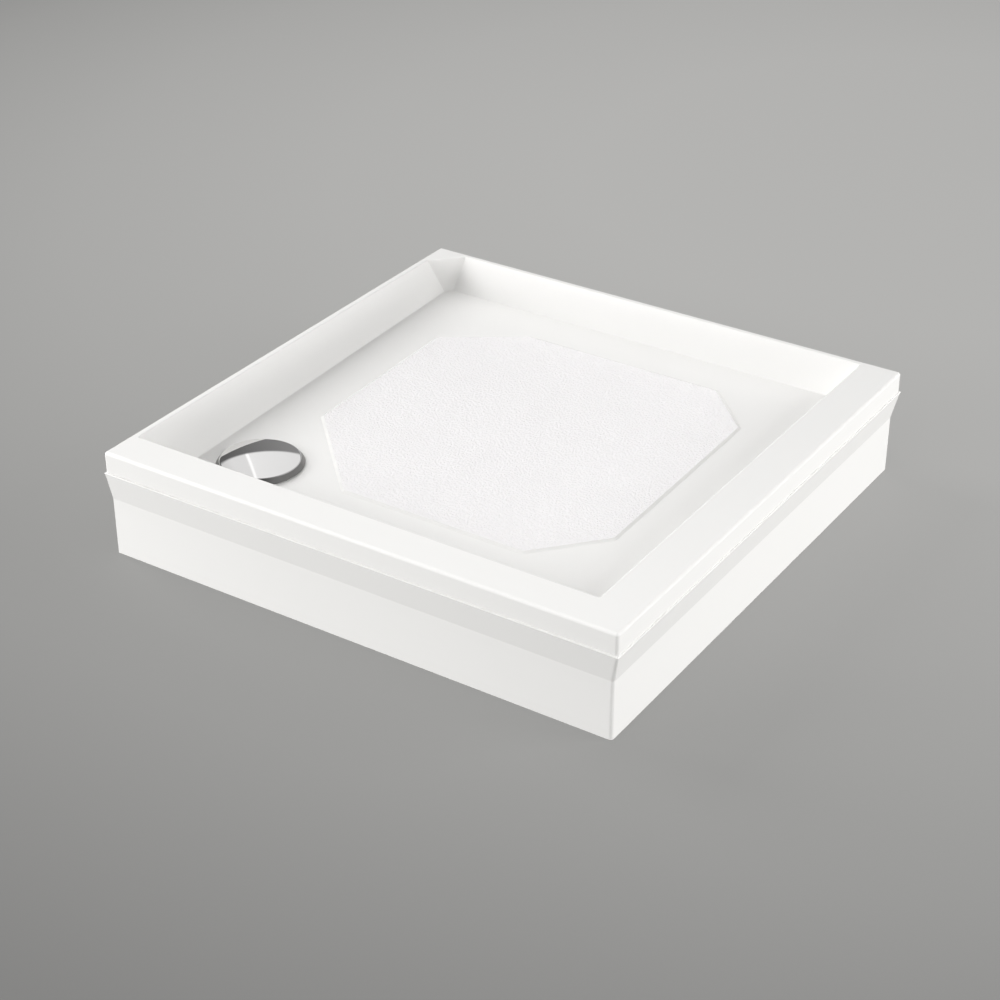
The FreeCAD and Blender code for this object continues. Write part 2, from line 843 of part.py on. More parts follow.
def dip_tube():
    """The lift-out water seal: a tube on a shoulder, with a bar to pull it by."""
    top = dip_low_shoulder + dip_shoulder_height
    groove = dip_low_shoulder + oring_from_ledge
    reach = oring_radius + running_gap
    inner = dip_radius - dip_wall
    body = rod(dip_radius, dip_bottom, top).fuse(rod(dip_shoulder_radius, dip_low_shoulder, top))
    body = body.cut(rod(inner, dip_bottom - 1, top + 1))
    bottom_of_groove = oring_middle() - reach
    body = body.cut(ring(dip_shoulder_radius + 1, bottom_of_groove, groove - reach, groove + reach))
    bar = box(-inner - 1, inner + 1, -dip_bar_width / 2, dip_bar_width / 2, top - dip_bar_height, top)
    return at_drain(joined([body, bar]))


def oring_middle():
    return flange_bore_radius - running_gap - oring_radius


def dip_oring():
    height = dip_low_shoulder + oring_from_ledge
    return at_drain(Part.makeTorus(oring_middle(), oring_radius, Vector(0, 0, height)))


def under_cover(inset):
    """The volume under the cover's outer faces moved in by inset, down to its rim."""
    shoulder = cover_shoulder - inset
    edge = cover_top_radius - inset
    wall = Part.makeCone(cover_base_radius - inset, edge, shoulder - cover_low, Vector(0, 0, cover_low))
    curve = (edge ** 2 + cover_crown ** 2) / (2 * cover_crown)
    crown = Part.makeSphere(curve, Vector(0, 0, shoulder + cover_crown - curve))
    return joined([wall, crown.common(rod(edge, shoulder, shoulder + cover_crown + 1))])


def waste_cover():
    """A pressed and plated cap: a low crown on a flared wall, open underneath."""
    return at_drain(under_cover(0).cut(under_cover(cover_sheet)))


def cover_carrier():
    """A plastic ring that holds the cover up on three posts over the flange."""
    ring_low = cover_shoulder - cover_sheet - carrier_ring
    foot = flange_top + seat_gap
    pieces = [ring(carrier_outer_radius, carrier_inner_radius, ring_low, cover_shoulder + cover_crown)]
    for angle in post_angles:
        pieces.append(sector(carrier_post_outer, carrier_post_inner, foot, ring_low, angle,
                             carrier_post_spread))
        pieces.append(sector(carrier_tongue_outer, carrier_inner_radius, foot - carrier_tongue_depth,
                             ring_low, angle, carrier_tongue_spread))
    return at_drain(joined(pieces).common(carrier_space(foot)))


def carrier_space(foot):
    """Everything under the cover's inner face, down past the tongues."""
    below = rod(carrier_outer_radius + 1, foot - carrier_tongue_depth - 1, cover_low)
    return under_cover(cover_sheet).fuse(below)


def outlet_pipe():
    """Ball-ended outlet, free to swivel in the trap's socket under its nut."""
    end = -half_width + outlet_end_gap - drain_x
    ball = outlet_ball(outlet_ball_radius)
    keep = rod_along_x(2 * outlet_ball_radius, -outlet_reach - 2 * outlet_ball_radius,
                       -outlet_reach + outlet_ball_radius / 2, 0, outlet_height)
    tail = rod_along_x(outlet_pipe_radius, end, -outlet_reach, 0, outlet_height)
    bore = rod_along_x(outlet_pipe_radius - outlet_pipe_wall, end - 1, 0, 0, outlet_height)
    return at_drain(joined([ball.common(keep), tail]).cut(bore))


def outlet_seal_ring():
    outer = outlet_socket_radius - running_gap
    inner = outlet_ball_radius + seat_gap
    start = -outlet_reach - outlet_seal
    seal = rod_along_x(outer, start, -outlet_reach, 0, outlet_height)
    return at_drain(seal.cut(rod_along_x(inner, start - 1, 0, 0, outlet_height)))


def outlet_nut():
    """A ribbed union nut that traps the ball against the seal."""
    back = -outlet_reach + outlet_nut_back
    front = -outlet_reach - outlet_nut_front
    seat = -outlet_reach - outlet_seal - seat_gap
    nut = rod_along_x(outlet_nut_radius, front, back, 0, outlet_height)
    nut = nut.cut(rod_along_x(outlet_socket_radius + running_gap, seat, 0, 0, outlet_height))
    nut = nut.cut(outlet_ball(outlet_ball_radius + seat_gap))
    ribs = []
    for k in range(outlet_nut_ribs):
        angle = 2 * math.pi * k / outlet_nut_ribs
        y = outlet_nut_radius * math.cos(angle)
        z = outlet_height + outlet_nut_radius * math.sin(angle)
        ribs.append(rod_along_x(outlet_nut_rib_radius, front, back, y, z))
    return at_drain(joined([nut] + ribs))


# -------------------------------------------------------------------- the build
def main():
    os.makedirs("parts", exist_ok=True)
    save("tray_shell", tray_shell())
    save("laminate_backing", laminate_backing())
    save("base_board", base_board())
    for name, (x0, x1, y) in rail_list().items():
        save(name, under_floor(rail(x0, x1, y)))
    save("rail_screws", *rail_screws())
    save("rail_nuts", *rail_nuts())
    save("foot_locknuts", *locknuts())
    for name, (x, y) in feet.items():
        save("foot_spindle_" + name, foot_spindle(x, y))
        save("foot_pad_" + name, foot_pad(x, y))
    for side in ("front", "right"):
        save(side + "_rim_batten", rim_batten(side))
        save(side + "_apron_clips", *[apron_clip(side, along) for along in clip_places()])
    save("apron_clip_screws", *clip_screws())
    save("apron_panel", apron_panel())
    save("apron_stays", *[apron_stay(*stay) for stay in stay_list()])
    save("apron_stay_screws", *[stay_screw(*stay) for stay in stay_list()])
    save("left_wall_brackets", *[wall_bracket("left", y) for y in left_bracket_y])
    save("back_wall_brackets", *[wall_bracket("back", x) for x in back_bracket_x])
    save("waste_gasket_upper", at_drain(ring(
        recess_radius - gasket_edge_gap, drain_hole_radius + gasket_edge_gap, drain_seat, flange_low)))
    save("waste_gasket_lower", at_drain(ring(
        recess_radius + sheet - gasket_edge_gap, drain_hole_radius + gasket_edge_gap, trap_top,
        trap_top + lower_gasket)))
    save("waste_flange", waste_flange())
    save("waste_flange_screws", *[at_drain(screw) for screw in round_the_drain(flange_screw, screw_angles)])
    save("trap_body", trap_body())
    save("dip_tube", dip_tube())
    save("dip_tube_oring", dip_oring())
    save("waste_cover", waste_cover())
    save("cover_carrier", cover_carrier())
    save("outlet_pipe", outlet_pipe())
    save("outlet_seal", outlet_seal_ring())
    save("outlet_nut", outlet_nut())


main()
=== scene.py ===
import math

import bmesh
import bpy
from mathutils import Matrix, Vector


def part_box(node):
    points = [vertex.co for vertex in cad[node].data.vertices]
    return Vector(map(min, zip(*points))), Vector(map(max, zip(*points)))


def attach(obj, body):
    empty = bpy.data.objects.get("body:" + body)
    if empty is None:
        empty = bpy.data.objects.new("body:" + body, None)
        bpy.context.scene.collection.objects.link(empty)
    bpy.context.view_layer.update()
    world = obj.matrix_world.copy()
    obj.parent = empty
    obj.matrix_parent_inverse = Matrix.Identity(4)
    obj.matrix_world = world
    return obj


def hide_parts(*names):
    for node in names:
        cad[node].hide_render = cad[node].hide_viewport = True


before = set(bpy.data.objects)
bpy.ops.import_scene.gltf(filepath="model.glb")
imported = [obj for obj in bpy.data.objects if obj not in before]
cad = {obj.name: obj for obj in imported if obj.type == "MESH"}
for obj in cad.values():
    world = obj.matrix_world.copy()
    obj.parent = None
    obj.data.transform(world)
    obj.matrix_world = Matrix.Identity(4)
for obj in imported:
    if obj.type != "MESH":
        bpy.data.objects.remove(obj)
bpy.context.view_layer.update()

# ------------------------------------------------------------------- camera
# The tray is seen from its open corner, from a little over thirty degrees above
# the floor, with a long lens.
camera = bpy.data.objects.new("camera", bpy.data.cameras.new("camera"))
bpy.context.scene.collection.objects.link(camera)
camera.location = (1.4424, -2.2544, 1.6047)
camera_aim = Vector((-0.0374, 0.0178, 0.0)) - camera.location
camera.rotation_euler = camera_aim.to_track_quat("-Z", "Y").to_euler()
camera.data.lens = 78.83
camera.data.sensor_width = 36.0
bpy.context.scene.camera = camera


# --------------------------------------------------------------- base board
# A sheet of chipboard bonded under the tray floor to stiffen it, with a notch
# round the trap. Pressed wood flakes in a brown binder, cut edges left raw.
def new_finish(name, colour, roughness, metallic=0.0):
    """A material with its nodes, its links and its Principled BSDF."""
    material = bpy.data.materials.new(name)
    material.use_nodes = True
    shader = material.node_tree.nodes["Principled BSDF"]
    shader.inputs["Base Color"].default_value = (*colour, 1.0)
    shader.inputs["Roughness"].default_value = roughness
    shader.inputs["Metallic"].default_value = metallic
    return material, material.node_tree.nodes, material.node_tree.links, shader


def new_effect(name, inputs, outputs):
    """An empty shader group with its named sockets: (label, kind, value) each."""
    group = bpy.data.node_groups.new(name, "ShaderNodeTree")
    for label, kind, value in inputs:
        socket = group.interface.new_socket(label, in_out="INPUT", socket_type="NodeSocket" + kind)
        if value is not None:
            socket.default_value = value
    for label, kind in outputs:
        group.interface.new_socket(label, in_out="OUTPUT", socket_type="NodeSocket" + kind)
    return group, group.nodes.new("NodeGroupInput"), group.nodes.new("NodeGroupOutput")


def place_effect(nodes, links, group, **values):
    """One use of a shader group on Object coordinates, with its own values."""
    place = nodes.new("ShaderNodeTexCoord")
    effect = nodes.new("ShaderNodeGroup")
    effect.node_tree = group
    links.new(place.outputs["Object"], effect.inputs["Place"])
    for label, value in values.items():
        effect.inputs[label.replace("_", " ")].default_value = value
    return effect


def raise_surface(nodes, links, shader, height, distance, strength=1.0):
    """A height in 0 to 1 becomes relief of that distance in metres."""
    bump = nodes.new("ShaderNodeBump")
    bump.inputs["Strength"].default_value = strength
    bump.inputs["Distance"].default_value = distance
    links.new(height, bump.inputs["Height"])
    links.new(bump.outputs["Normal"], shader.inputs["Normal"])
    return bump


def paint(links, effect, shader):
    """The effect's colour and roughness are the shader's."""
    links.new(effect.outputs["Color"], shader.inputs["Base Color"])
    links.new(effect.outputs["Roughness"], shader.inputs["Roughness"])


def dress(material, *names):
    """Give these CAD nodes one material."""
    for name in names:
        cad[name].data.materials.clear()
        cad[name].data.materials.append(material)


def flake_effect():
    group, start, end = new_effect(
        "wood_flakes",
        [("Place", "Vector", None), ("Flake Scale", "Float", 220.0),
         ("Light", "Color", (0.62, 0.45, 0.27, 1)), ("Dark", "Color", (0.30, 0.18, 0.09, 1))],
        [("Color", "Color"), ("Height", "Float")])
    nodes, links = group.nodes, group.links
    stretch = nodes.new("ShaderNodeMapping")
    stretch.inputs["Scale"].default_value = (1.0, 0.45, 1.6)
    links.new(start.outputs["Place"], stretch.inputs["Vector"])
    cells = nodes.new("ShaderNodeTexVoronoi")
    links.new(stretch.outputs["Vector"], cells.inputs["Vector"])
    links.new(start.outputs["Flake Scale"], cells.inputs["Scale"])
    fibre = nodes.new("ShaderNodeTexNoise")
    fibre.inputs["Scale"].default_value = 900.0
    fibre.inputs["Detail"].default_value = 4.0
    links.new(stretch.outputs["Vector"], fibre.inputs["Vector"])
    tone = nodes.new("ShaderNodeSeparateColor")
    links.new(cells.outputs["Color"], tone.inputs["Color"])
    blend = nodes.new("ShaderNodeMath")
    blend.operation = "MULTIPLY_ADD"
    blend.inputs[1].default_value = 0.6
    links.new(tone.outputs["Red"], blend.inputs[0])
    part = nodes.new("ShaderNodeMath")
    part.operation = "MULTIPLY"
    part.inputs[1].default_value = 0.4
    links.new(fibre.outputs["Fac"], part.inputs[0])
    links.new(part.outputs["Value"], blend.inputs[2])
    mix = nodes.new("ShaderNodeMix")
    mix.data_type = "RGBA"
    links.new(blend.outputs["Value"], mix.inputs["Factor"])
    links.new(start.outputs["Dark"], mix.inputs[6])
    links.new(start.outputs["Light"], mix.inputs[7])
    links.new(mix.outputs[2], end.inputs["Color"])
    links.new(blend.outputs["Value"], end.inputs["Height"])
    return group


wood_flakes = flake_effect()
chipboard, nodes, links, shader = new_finish("chipboard", (0.5, 0.35, 0.2), 0.85)
flakes = place_effect(nodes, links, wood_flakes)
links.new(flakes.outputs["Color"], shader.inputs["Base Color"])
raise_surface(nodes, links, shader, flakes.outputs["Height"], 0.0002)
dress(chipboard, "base_board", "front_rim_batten", "right_rim_batten")


# ------------------------------------------------- rails, clips and brackets
# Folded from galvanised sheet steel. The hot dip leaves grey zinc crystals a few
# millimetres across, some shinier than others.
def plating_effect():
    group, start, end = new_effect(
        "zinc_crystals",
        [("Place", "Vector", None), ("Crystal Scale", "Float", 160.0),
         ("Light", "Color", (0.66, 0.68, 0.70, 1)), ("Dark", "Color", (0.46, 0.48, 0.50, 1)),
         ("Smooth", "Float", 0.28), ("Rough", "Float", 0.5)],
        [("Color", "Color"), ("Roughness", "Float"), ("Height", "Float")])
    nodes, links = group.nodes, group.links
    warp = nodes.new("ShaderNodeTexNoise")
    warp.inputs["Scale"].default_value = 90.0
    links.new(start.outputs["Place"], warp.inputs["Vector"])
    shift = nodes.new("ShaderNodeVectorMath")
    shift.operation = "MULTIPLY_ADD"
    shift.inputs[1].default_value = (0.004, 0.004, 0.004)
    links.new(warp.outputs["Color"], shift.inputs[0])
    links.new(start.outputs["Place"], shift.inputs[2])
    cells = nodes.new("ShaderNodeTexVoronoi")
    links.new(shift.outputs["Vector"], cells.inputs["Vector"])
    links.new(start.outputs["Crystal Scale"], cells.inputs["Scale"])
    tone = nodes.new("ShaderNodeSeparateColor")
    links.new(cells.outputs["Color"], tone.inputs["Color"])
    mix = nodes.new("ShaderNodeMix")
    mix.data_type = "RGBA"
    links.new(tone.outputs["Red"], mix.inputs["Factor"])
    links.new(start.outputs["Dark"], mix.inputs[6])
    links.new(start.outputs["Light"], mix.inputs[7])
    links.new(mix.outputs[2], end.inputs["Color"])
    spread = nodes.new("ShaderNodeMix")
    links.new(tone.outputs["Green"], spread.inputs["Factor"])
    links.new(start.outputs["Smooth"], spread.inputs[2])
    links.new(start.outputs["Rough"], spread.inputs[3])
    links.new(spread.outputs[0], end.inputs["Roughness"])
    links.new(warp.outputs["Fac"], end.inputs["Height"])
    return group


zinc_crystals = plating_effect()
galvanised, nodes, links, shader = new_finish("galvanised_sheet", (0.56, 0.58, 0.6), 0.4, 1.0)
crystals = place_effect(nodes, links, zinc_crystals)
paint(links, crystals, shader)
raise_surface(nodes, links, shader, crystals.outputs["Height"], 0.0001)
dress(galvanised, "front_rail", "back_rail", "centre_rail", "front_apron_clips", "right_apron_clips",
      "apron_stays", "left_wall_brackets", "back_wall_brackets")

# -------------------------------------------------------------- screws, nuts
# Bright zinc-plated steel, turned and rolled: wood screws, stay screws, nuts and
# locknuts. Each screw head has a cross recess for the driver.
zinc_plated, nodes, links, shader = new_finish("bright_zinc", (0.72, 0.73, 0.74), 0.3, 1.0)
crystals = place_effect(nodes, links, zinc_crystals, Crystal_Scale=700.0, Smooth=0.22, Rough=0.34,
                        Light=(0.78, 0.79, 0.80, 1), Dark=(0.66, 0.67, 0.70, 1))
paint(links, crystals, shader)
dress(zinc_plated, "rail_nuts", "foot_locknuts")


def new_shape(name, *inputs):
    """An empty Geometry Nodes tree with its named inputs: (label, kind, value) each."""
    tree = bpy.data.node_groups.new(name, "GeometryNodeTree")
    tree.interface.new_socket("Geometry", in_out="OUTPUT", socket_type="NodeSocketGeometry")
    for label, kind, value in inputs:
        socket = tree.interface.new_socket(label, in_out="INPUT", socket_type="NodeSocket" + kind)
        if value is not None:
            socket.default_value = value
    return tree, tree.nodes, tree.links, tree.nodes.new("NodeGroupInput"), tree.nodes.new("NodeGroupOutput")


def grow(name, tree, mesh, material, sharp_degrees=35.0, **values):
    """Run a tree once on a mesh and keep the mesh that it makes, in one material."""
    piece = bpy.data.objects.new(name, mesh)
    bpy.context.scene.collection.objects.link(piece)
    modifier = piece.modifiers.new(tree.name, "NODES")
    modifier.node_group = tree
    for item in tree.interface.items_tree:
        if item.in_out == "INPUT" and item.name in values:
            modifier[item.identifier] = values[item.name]
        elif item.in_out == "INPUT" and item.name == "Finish":
            modifier[item.identifier] = material
    graph = bpy.context.evaluated_depsgraph_get()
    made = bpy.data.meshes.new_from_object(piece.evaluated_get(graph), depsgraph=graph)
    piece.modifiers.clear()
    piece.data = made
    made.shade_smooth()
    made.set_sharp_from_angle(angle=math.radians(sharp_degrees))
    return piece


def recess_tree():
    tree, nodes, links, start, end = new_shape(
        "cross_recess", ("Geometry", "Geometry", None), ("Head Points", "Object", None),
        ("Blade Length", "Float", 0.0044), ("Blade Width", "Float", 0.0009), ("Depth", "Float", 0.0016),
        ("Finish", "Material", None))
    second_blade = 0.9  # of the first blade's depth, so that the two floors don't coincide
    size = nodes.new("ShaderNodeCombineXYZ")
    links.new(start.outputs["Blade Length"], size.inputs["X"])
    links.new(start.outputs["Blade Width"], size.inputs["Y"])
    double = nodes.new("ShaderNodeMath")
    double.operation = "MULTIPLY"
    double.inputs[1].default_value = 2.0
    links.new(start.outputs["Depth"], double.inputs[0])
    links.new(double.outputs["Value"], size.inputs["Z"])
    blade = nodes.new("GeometryNodeMeshCube")
    links.new(size.outputs["Vector"], blade.inputs["Size"])
    crossed = nodes.new("GeometryNodeTransform")
    crossed.inputs["Rotation"].default_value = (0.0, 0.0, math.pi / 2)
    crossed.inputs["Scale"].default_value = (1.0, 1.0, second_blade)
    links.new(blade.outputs["Mesh"], crossed.inputs["Geometry"])
    heads = nodes.new("GeometryNodeObjectInfo")
    links.new(start.outputs["Head Points"], heads.inputs["Object"])
    cross = nodes.new("GeometryNodeMeshBoolean")
    cross.operation = "UNION"
    links.new(blade.outputs["Mesh"], cross.inputs["Mesh 2"])
    links.new(crossed.outputs["Geometry"], cross.inputs["Mesh 2"])
    each = nodes.new("GeometryNodeInstanceOnPoints")
    links.new(heads.outputs["Geometry"], each.inputs["Points"])
    links.new(cross.outputs["Mesh"], each.inputs["Instance"])
    real = nodes.new("GeometryNodeRealizeInstances")
    links.new(each.outputs["Instances"], real.inputs["Geometry"])
    carve = nodes.new("GeometryNodeMeshBoolean")
    carve.operation = "DIFFERENCE"
    links.new(start.outputs["Geometry"], carve.inputs["Mesh 1"])
    links.new(real.outputs["Geometry"], carve.inputs["Mesh 2"])
    whole = nodes.new("GeometryNodeRealizeInstances")
    links.new(carve.outputs["Mesh"], whole.inputs["Geometry"])
    coat = nodes.new("GeometryNodeSetMaterial")
    links.new(whole.outputs["Geometry"], coat.inputs["Geometry"])
    links.new(start.outputs["Finish"], coat.inputs["Material"])
    links.new(coat.outputs["Geometry"], end.inputs["Geometry"])
    return tree


def head_points(mesh, face_depth=0.0003):
    """The middle of each screw's head face in a mesh of many upright screws."""
    work = bmesh.new()
    work.from_mesh(mesh)
    left, points = set(work.verts), []
    while left:
        island, waiting = [], [left.pop()]
        while waiting:
            vert = waiting.pop()
            island.append(vert.co.copy())
            for edge in vert.link_edges:
                other = edge.other_vert(vert)
                if other in left:
                    left.remove(other)
                    waiting.append(other)
        low, high = min(c.z for c in island), max(c.z for c in island)
        x = (min(c.x for c in island) + max(c.x for c in island)) / 2
        widest = max(island, key=lambda c: abs(c.x - x))
        end = low if widest.z - low < high - widest.z else high
        face = [c for c in island if abs(c.z - end) < face_depth]
        points.append(sum(face, Vector()) / len(face))
    work.free()
    return points


cross_recess = recess_tree()


def recessed_screws(node, name, material):
    """A node's screws with a cross recess in each head, in place of the plain ones."""
    mesh = cad[node].data.copy()
    work = bmesh.new()
    work.from_mesh(mesh)
    bmesh.ops.remove_doubles(work, verts=work.verts, dist=1e-6)
    work.to_mesh(mesh)
    work.free()
    marks = bpy.data.meshes.new("head_marks")
    marks.from_pydata(head_points(mesh), [], [])
    guide = bpy.data.objects.new("head_marks", marks)
    bpy.context.scene.collection.objects.link(guide)
    piece = grow(name, cross_recess, mesh, material, **{"Head Points": guide})
    bpy.data.objects.remove(guide)
    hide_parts(node)
    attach(piece, "tray")


recessed_screws("rail_screws", "rail_wood_screws", zinc_plated)
recessed_screws("apron_clip_screws", "clip_wood_screws", zinc_plated)
recessed_screws("apron_stay_screws", "stay_fixing_screws", zinc_plated)


# --------------------------------------------------------------- foot spindles
# M12 rods of zinc-plated steel with a rolled thread, a hexagon for the spanner and
# a ball that snaps into the pad. They lean with the board, whose floor falls.
hexagon_height, neck_length, ball_radius = 0.006, 0.009, 0.006


def spindle_tree(sides=40, rows=280):
    """A rod whose top is at the origin: one sheet of rows rolled up with the thread's
    profile, its first and last row drawn in to close the ends, and the plain parts."""
    tree, nodes, links, start, end = new_shape(
        "levelling_spindle", ("Crest Radius", "Float", 0.0059), ("Root Radius", "Float", 0.005),
        ("Pitch", "Float", 0.00175), ("Thread Length", "Float", 0.057),
        ("Hexagon Height", "Float", hexagon_height), ("Hexagon Radius", "Float", 0.0098),
        ("Neck Length", "Float", neck_length), ("Neck Radius", "Float", 0.0038),
        ("Ball Radius", "Float", ball_radius), ("Finish", "Material", None))
    flank_steepness, root_width, end_chamfer = 1.6, 0.3, 0.0003

    def calc(operation, *values):
        node = nodes.new("ShaderNodeMath")
        node.operation = operation
        for socket, value in zip(node.inputs, values):
            if isinstance(value, (int, float)):
                socket.default_value = value
            else:
                links.new(value, socket)
        return node.outputs["Value"]

    def put_down(shape, depth):
        move = nodes.new("GeometryNodeTransform")
        lift = nodes.new("ShaderNodeCombineXYZ")
        links.new(calc("MULTIPLY", depth, -1.0), lift.inputs["Z"])
        links.new(lift.outputs["Vector"], move.inputs["Translation"])
        links.new(shape, move.inputs["Geometry"])
        return move.outputs["Geometry"]

    sheet = nodes.new("GeometryNodeMeshGrid")
    for label, value in (("Size X", 1.0), ("Size Y", 1.0),
                         ("Vertices X", sides + 1), ("Vertices Y", rows)):
        sheet.inputs[label].default_value = value
    where = nodes.new("GeometryNodeInputPosition")
    split = nodes.new("ShaderNodeSeparateXYZ")
    links.new(where.outputs["Position"], split.inputs["Vector"])
    turn = calc("ADD", split.outputs["X"], 0.5)
    rise = calc("ADD", split.outputs["Y"], 0.5)
    length = start.outputs["Thread Length"]
    row = calc("MULTIPLY", rise, rows - 1.0)
    along = calc("DIVIDE", calc("SUBTRACT", row, 1.0), rows - 3.0)
    along = calc("MINIMUM", calc("MAXIMUM", along, 0.0), 1.0)
    depth = calc("MULTIPLY", calc("SUBTRACT", 1.0, along), length)
    phase = calc("FRACT", calc("SUBTRACT", calc("DIVIDE", depth, start.outputs["Pitch"]), turn))
    slope = calc("ABSOLUTE", calc("MULTIPLY_ADD", phase, 2.0, -1.0))
    flank = calc("MULTIPLY_ADD", slope, flank_steepness, -root_width)
    flank = calc("MINIMUM", calc("MAXIMUM", flank, 0.0), 1.0)
    tooth = calc("SUBTRACT", start.outputs["Crest Radius"], start.outputs["Root Radius"])
    radius = calc("MULTIPLY_ADD", flank, tooth, start.outputs["Root Radius"])
    chamfer = calc("ADD", calc("SUBTRACT", start.outputs["Root Radius"], end_chamfer), depth)
    radius = calc("MINIMUM", radius, chamfer)
    radius = calc("MULTIPLY", radius, calc("LESS_THAN", row, rows - 1.5))
    radius = calc("MULTIPLY", radius, calc("GREATER_THAN", row, 0.5))
    angle = calc("MULTIPLY", turn, 2 * math.pi)
    spot = nodes.new("ShaderNodeCombineXYZ")
    links.new(calc("MULTIPLY", radius, calc("COSINE", angle)), spot.inputs["X"])
    links.new(calc("MULTIPLY", radius, calc("SINE", angle)), spot.inputs["Y"])
    links.new(calc("MULTIPLY", depth, -1.0), spot.inputs["Z"])
    roll = nodes.new("GeometryNodeSetPosition")
    links.new(sheet.outputs["Mesh"], roll.inputs["Geometry"])
    links.new(spot.outputs["Vector"], roll.inputs["Position"])
    seam = nodes.new("GeometryNodeMergeByDistance")
    seam.inputs["Distance"].default_value = 0.000002
    links.new(roll.outputs["Geometry"], seam.inputs["Geometry"])

    hexagon = nodes.new("GeometryNodeMeshCylinder")
    hexagon.inputs["Vertices"].default_value = 6
    links.new(start.outputs["Hexagon Radius"], hexagon.inputs["Radius"])
    links.new(start.outputs["Hexagon Height"], hexagon.inputs["Depth"])
    neck = nodes.new("GeometryNodeMeshCylinder")
    neck.inputs["Vertices"].default_value = 28
    links.new(start.outputs["Neck Radius"], neck.inputs["Radius"])
    links.new(start.outputs["Neck Length"], neck.inputs["Depth"])
    ball = nodes.new("GeometryNodeMeshUVSphere")
    ball.inputs["Segments"].default_value = 28
    ball.inputs["Rings"].default_value = 16
    links.new(start.outputs["Ball Radius"], ball.inputs["Radius"])
    under = calc("ADD", length, start.outputs["Hexagon Height"])
    hexagon_middle = calc("MULTIPLY_ADD", start.outputs["Hexagon Height"], 0.5, length)
    neck_middle = calc("MULTIPLY_ADD", start.outputs["Neck Length"], 0.5, under)
    ball_middle = calc("ADD", start.outputs["Neck Length"], under)
    whole = nodes.new("GeometryNodeJoinGeometry")
    for shape in (seam.outputs["Geometry"], put_down(hexagon.outputs["Mesh"], hexagon_middle),
                  put_down(neck.outputs["Mesh"], neck_middle),
                  put_down(ball.outputs["Mesh"], ball_middle)):
        links.new(shape, whole.inputs["Geometry"])
    real = nodes.new("GeometryNodeRealizeInstances")
    links.new(whole.outputs["Geometry"], real.inputs["Geometry"])
    coat = nodes.new("GeometryNodeSetMaterial")
    links.new(real.outputs["Geometry"], coat.inputs["Geometry"])
    links.new(start.outputs["Finish"], coat.inputs["Material"])
    links.new(coat.outputs["Geometry"], end.inputs["Geometry"])
    return tree


feet = ("front_left", "front_right", "back_left", "back_right", "centre")
levelling_spindle = spindle_tree()
lean = Vector((0.0, -0.015698, 0.999877))
for foot in feet:
    rod = cad["foot_spindle_" + foot].data
    heights = [vert.co.dot(lean) for vert in rod.vertices]
    top_face = [vert.co for vert, height in zip(rod.vertices, heights) if height > max(heights) - 0.00001]
    thread_length = max(heights) - min(heights) - hexagon_height - neck_length - ball_radius
    spindle = grow("threaded_spindle_" + foot, levelling_spindle, bpy.data.meshes.new("spindle"),
                   zinc_plated, **{"Thread Length": thread_length})
    upright = Vector((0, 0, 1)).rotation_difference(lean).to_matrix().to_4x4()
    spindle.data.transform(Matrix.Translation(sum(top_face, Vector()) / len(top_face)) @ upright)
    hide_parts("foot_spindle_" + foot)
    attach(spindle, "foot_" + foot)


# ----------------------------------------------------------------- foot pads
# Swivelling pads of black moulded plastic, snapped over the balls of the spindles.
def moulding_effect():
    group, start, end = new_effect(
        "moulded_surface",
        [("Place", "Vector", None), ("Patch Scale", "Float", 12.0), ("Grain Scale", "Float", 700.0),
         ("Light", "Color", (0.8, 0.8, 0.8, 1)), ("Dark", "Color", (0.7, 0.7, 0.7, 1)),
         ("Smooth", "Float", 0.3), ("Rough", "Float", 0.45)],
        [("Color", "Color"), ("Roughness", "Float"), ("Height", "Float")])
    nodes, links = group.nodes, group.links
    patch = nodes.new("ShaderNodeTexNoise")
    patch.inputs["Detail"].default_value = 2.0
    links.new(start.outputs["Place"], patch.inputs["Vector"])
    links.new(start.outputs["Patch Scale"], patch.inputs["Scale"])
    grain = nodes.new("ShaderNodeTexNoise")
    grain.inputs["Detail"].default_value = 2.0
    links.new(start.outputs["Place"], grain.inputs["Vector"])
    links.new(start.outputs["Grain Scale"], grain.inputs["Scale"])
    mix = nodes.new("ShaderNodeMix")
    mix.data_type = "RGBA"
    links.new(patch.outputs["Fac"], mix.inputs["Factor"])
    links.new(start.outputs["Dark"], mix.inputs[6])
    links.new(start.outputs["Light"], mix.inputs[7])
    links.new(mix.outputs[2], end.inputs["Color"])
    spread = nodes.new("ShaderNodeMix")
    links.new(grain.outputs["Fac"], spread.inputs["Factor"])
    links.new(start.outputs["Smooth"], spread.inputs[2])
    links.new(start.outputs["Rough"], spread.inputs[3])
    links.new(spread.outputs[0], end.inputs["Roughness"])
    links.new(grain.outputs["Fac"], end.inputs["Height"])
    return group


moulded_surface = moulding_effect()


def moulded_finish(name, light, dark, smooth, rough, relief, patch=12.0, grain=700.0):
    """Moulded or cast plastic and rubber: slight patches of tone and a fine grain."""
    middle = [(a + b) / 2 for a, b in zip(light, dark)]
    material, nodes, links, shader = new_finish(name, middle, (smooth + rough) / 2)
    surface = place_effect(nodes, links, moulded_surface, Patch_Scale=patch, Grain_Scale=grain,
                           Light=(*light, 1), Dark=(*dark, 1), Smooth=smooth, Rough=rough)
    paint(links, surface, shader)
    raise_surface(nodes, links, shader, surface.outputs["Height"], relief)
    return material


black_plastic = moulded_finish("black_moulding", (0.05, 0.05, 0.052), (0.03, 0.03, 0.032), 0.4, 0.6, 0.0001)
dress(black_plastic, *["foot_pad_" + foot for foot in feet])

